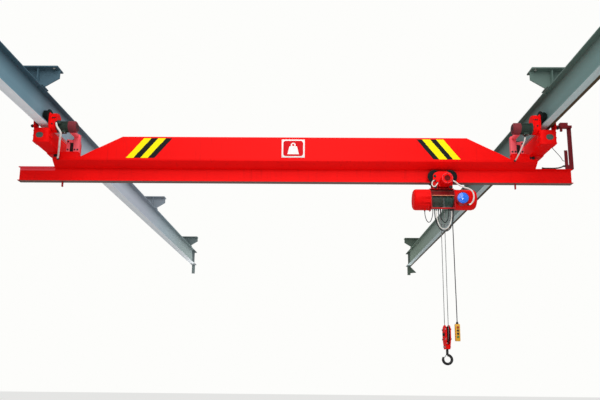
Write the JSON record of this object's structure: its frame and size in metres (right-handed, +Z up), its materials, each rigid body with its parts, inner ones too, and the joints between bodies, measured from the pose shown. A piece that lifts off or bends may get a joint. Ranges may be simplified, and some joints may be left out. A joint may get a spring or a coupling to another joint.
{
  "type": "overhead travelling crane",
  "caption": "Underslung bridge crane: red box girder on end carriages below two ceiling runway beams, with a wire rope hoist on a motor trolley.",
  "frame": {"origin": "centre of the top face of the near left hanger, where it meets the ceiling steel", "axes": "+X along the girder to the right in the picture, +Y along the runway away from the camera, +Z up"},
  "size_m": [7.51, 12.05, 3.693],
  "materials": {
    "runway_paint": "matt grey-green paint, dusty",
    "red_paint": "gloss red paint",
    "stop_paint": "satin dark red paint",
    "plate": "bare printed plate, satin",
    "motor_paint": "satin maroon paint",
    "stand_paint": "faded pink-red primer",
    "collector_paint": "satin dark red paint",
    "wheel_steel": "worn dark steel",
    "drum_steel": "dark greased steel",
    "rope_steel": "bright wire",
    "cap_plastic": "gloss blue",
    "lead_jacket": "white cable jacket, dusty",
    "black_jacket": "black cable jacket",
    "grey_jacket": "grey cable jacket",
    "station_case": "moulded yellow box",
    "hook_steel": "black forged steel"
  },
  "bodies": {
    "runway": {"left_runway_beam": "runway_paint", "right_runway_beam": "runway_paint", "hangers": "runway_paint", "end_stops": "runway_paint"},
    "bridge": {"girder_beam": "red_paint", "girder_box": "red_paint", "trolley_stops": "stop_paint", "rating_plate": "plate", "saddles": "red_paint", "carriage_boxes": "red_paint", "wheel_plates": "red_paint", "gear_cases": "red_paint", "travel_motors": "motor_paint", "motor_stands": "stand_paint", "collector_post": "collector_paint", "collector_arm": "collector_paint", "bridge_leads": "lead_jacket"},
    "left_front_wheelset": {"left_front_wheels": "wheel_steel"},
    "left_rear_wheelset": {"left_rear_wheels": "wheel_steel"},
    "right_front_wheelset": {"right_front_wheels": "wheel_steel"},
    "right_rear_wheelset": {"right_rear_wheels": "wheel_steel"},
    "trolley": {"trolley_plates": "red_paint", "trolley_motor": "red_paint", "hoist_frame": "red_paint", "drum_cover": "red_paint", "rope_guide": "drum_steel", "gearbox_cover": "red_paint", "hoist_housing": "red_paint", "cap_ring": "stop_paint", "blue_cap": "cap_plastic", "trolley_leads": "lead_jacket", "wide_loop": "black_jacket", "white_loop": "lead_jacket", "middle_loop": "grey_jacket", "inner_loop": "black_jacket", "small_loop": "black_jacket", "pendant_cable": "black_jacket", "pendant_station": "station_case", "rope_falls": "rope_steel"},
    "trolley_left_wheelset": {"trolley_left_wheels": "wheel_steel"},
    "trolley_right_wheelset": {"trolley_right_wheels": "wheel_steel"},
    "drum": {"rope_drum": "drum_steel"},
    "hook": {"hook_block": "red_paint", "block_sheave": "wheel_steel", "hook": "hook_steel"}
  },
  "joints": [
    {"name": "bridge_travel", "type": "slide", "parent": "runway", "child": "bridge", "axis": [0, 1, 0], "range_m": [-1.57, 9.22]},
    {"name": "trolley_travel", "type": "slide", "parent": "bridge", "child": "trolley", "axis": [1, 0, 0], "range_m": [-4.97, 0.81]},
    {"name": "hook_lift", "type": "slide", "parent": "trolley", "child": "hook", "axis": [0, 0, 1], "range_m": [0, 1.3], "deforming": ["rope_falls"]},
    {"name": "left_front_wheel_spin", "type": "hinge", "parent": "bridge", "child": "left_front_wheelset", "pos_m": [0, 0.21, -0.5581], "axis": [1, 0, 0], "continuous": true},
    {"name": "left_rear_wheel_spin", "type": "hinge", "parent": "bridge", "child": "left_rear_wheelset", "pos_m": [0, 1.17, -0.5581], "axis": [1, 0, 0], "continuous": true},
    {"name": "right_front_wheel_spin", "type": "hinge", "parent": "bridge", "child": "right_front_wheelset", "pos_m": [6.5, 0.21, -0.5581], "axis": [1, 0, 0], "continuous": true},
    {"name": "right_rear_wheel_spin", "type": "hinge", "parent": "bridge", "child": "right_rear_wheelset", "pos_m": [6.5, 1.17, -0.5581], "axis": [1, 0, 0], "continuous": true},
    {"name": "trolley_left_wheel_spin", "type": "hinge", "parent": "trolley", "child": "trolley_left_wheelset", "pos_m": [5.139, 0.69, -1.1952], "axis": [0, 1, 0], "continuous": true},
    {"name": "trolley_right_wheel_spin", "type": "hinge", "parent": "trolley", "child": "trolley_right_wheelset", "pos_m": [5.351, 0.69, -1.1952], "axis": [0, 1, 0], "continuous": true},
    {"name": "drum_spin", "type": "hinge", "parent": "trolley", "child": "drum", "pos_m": [5.245, 0.69, -1.502], "axis": [1, 0, 0], "continuous": true}
  ],
  "couplings": [
    {"joint": "left_front_wheel_spin", "follows": "bridge_travel", "rad_per_m": -11.765},
    {"joint": "left_rear_wheel_spin", "follows": "bridge_travel", "rad_per_m": -11.765},
    {"joint": "right_front_wheel_spin", "follows": "bridge_travel", "rad_per_m": -11.765},
    {"joint": "right_rear_wheel_spin", "follows": "bridge_travel", "rad_per_m": -11.765},
    {"joint": "trolley_left_wheel_spin", "follows": "trolley_travel", "rad_per_m": 14.706},
    {"joint": "trolley_right_wheel_spin", "follows": "trolley_travel", "rad_per_m": 14.706},
    {"joint": "drum_spin", "follows": "hook_lift", "rad_per_m": -20.513}
  ]
}
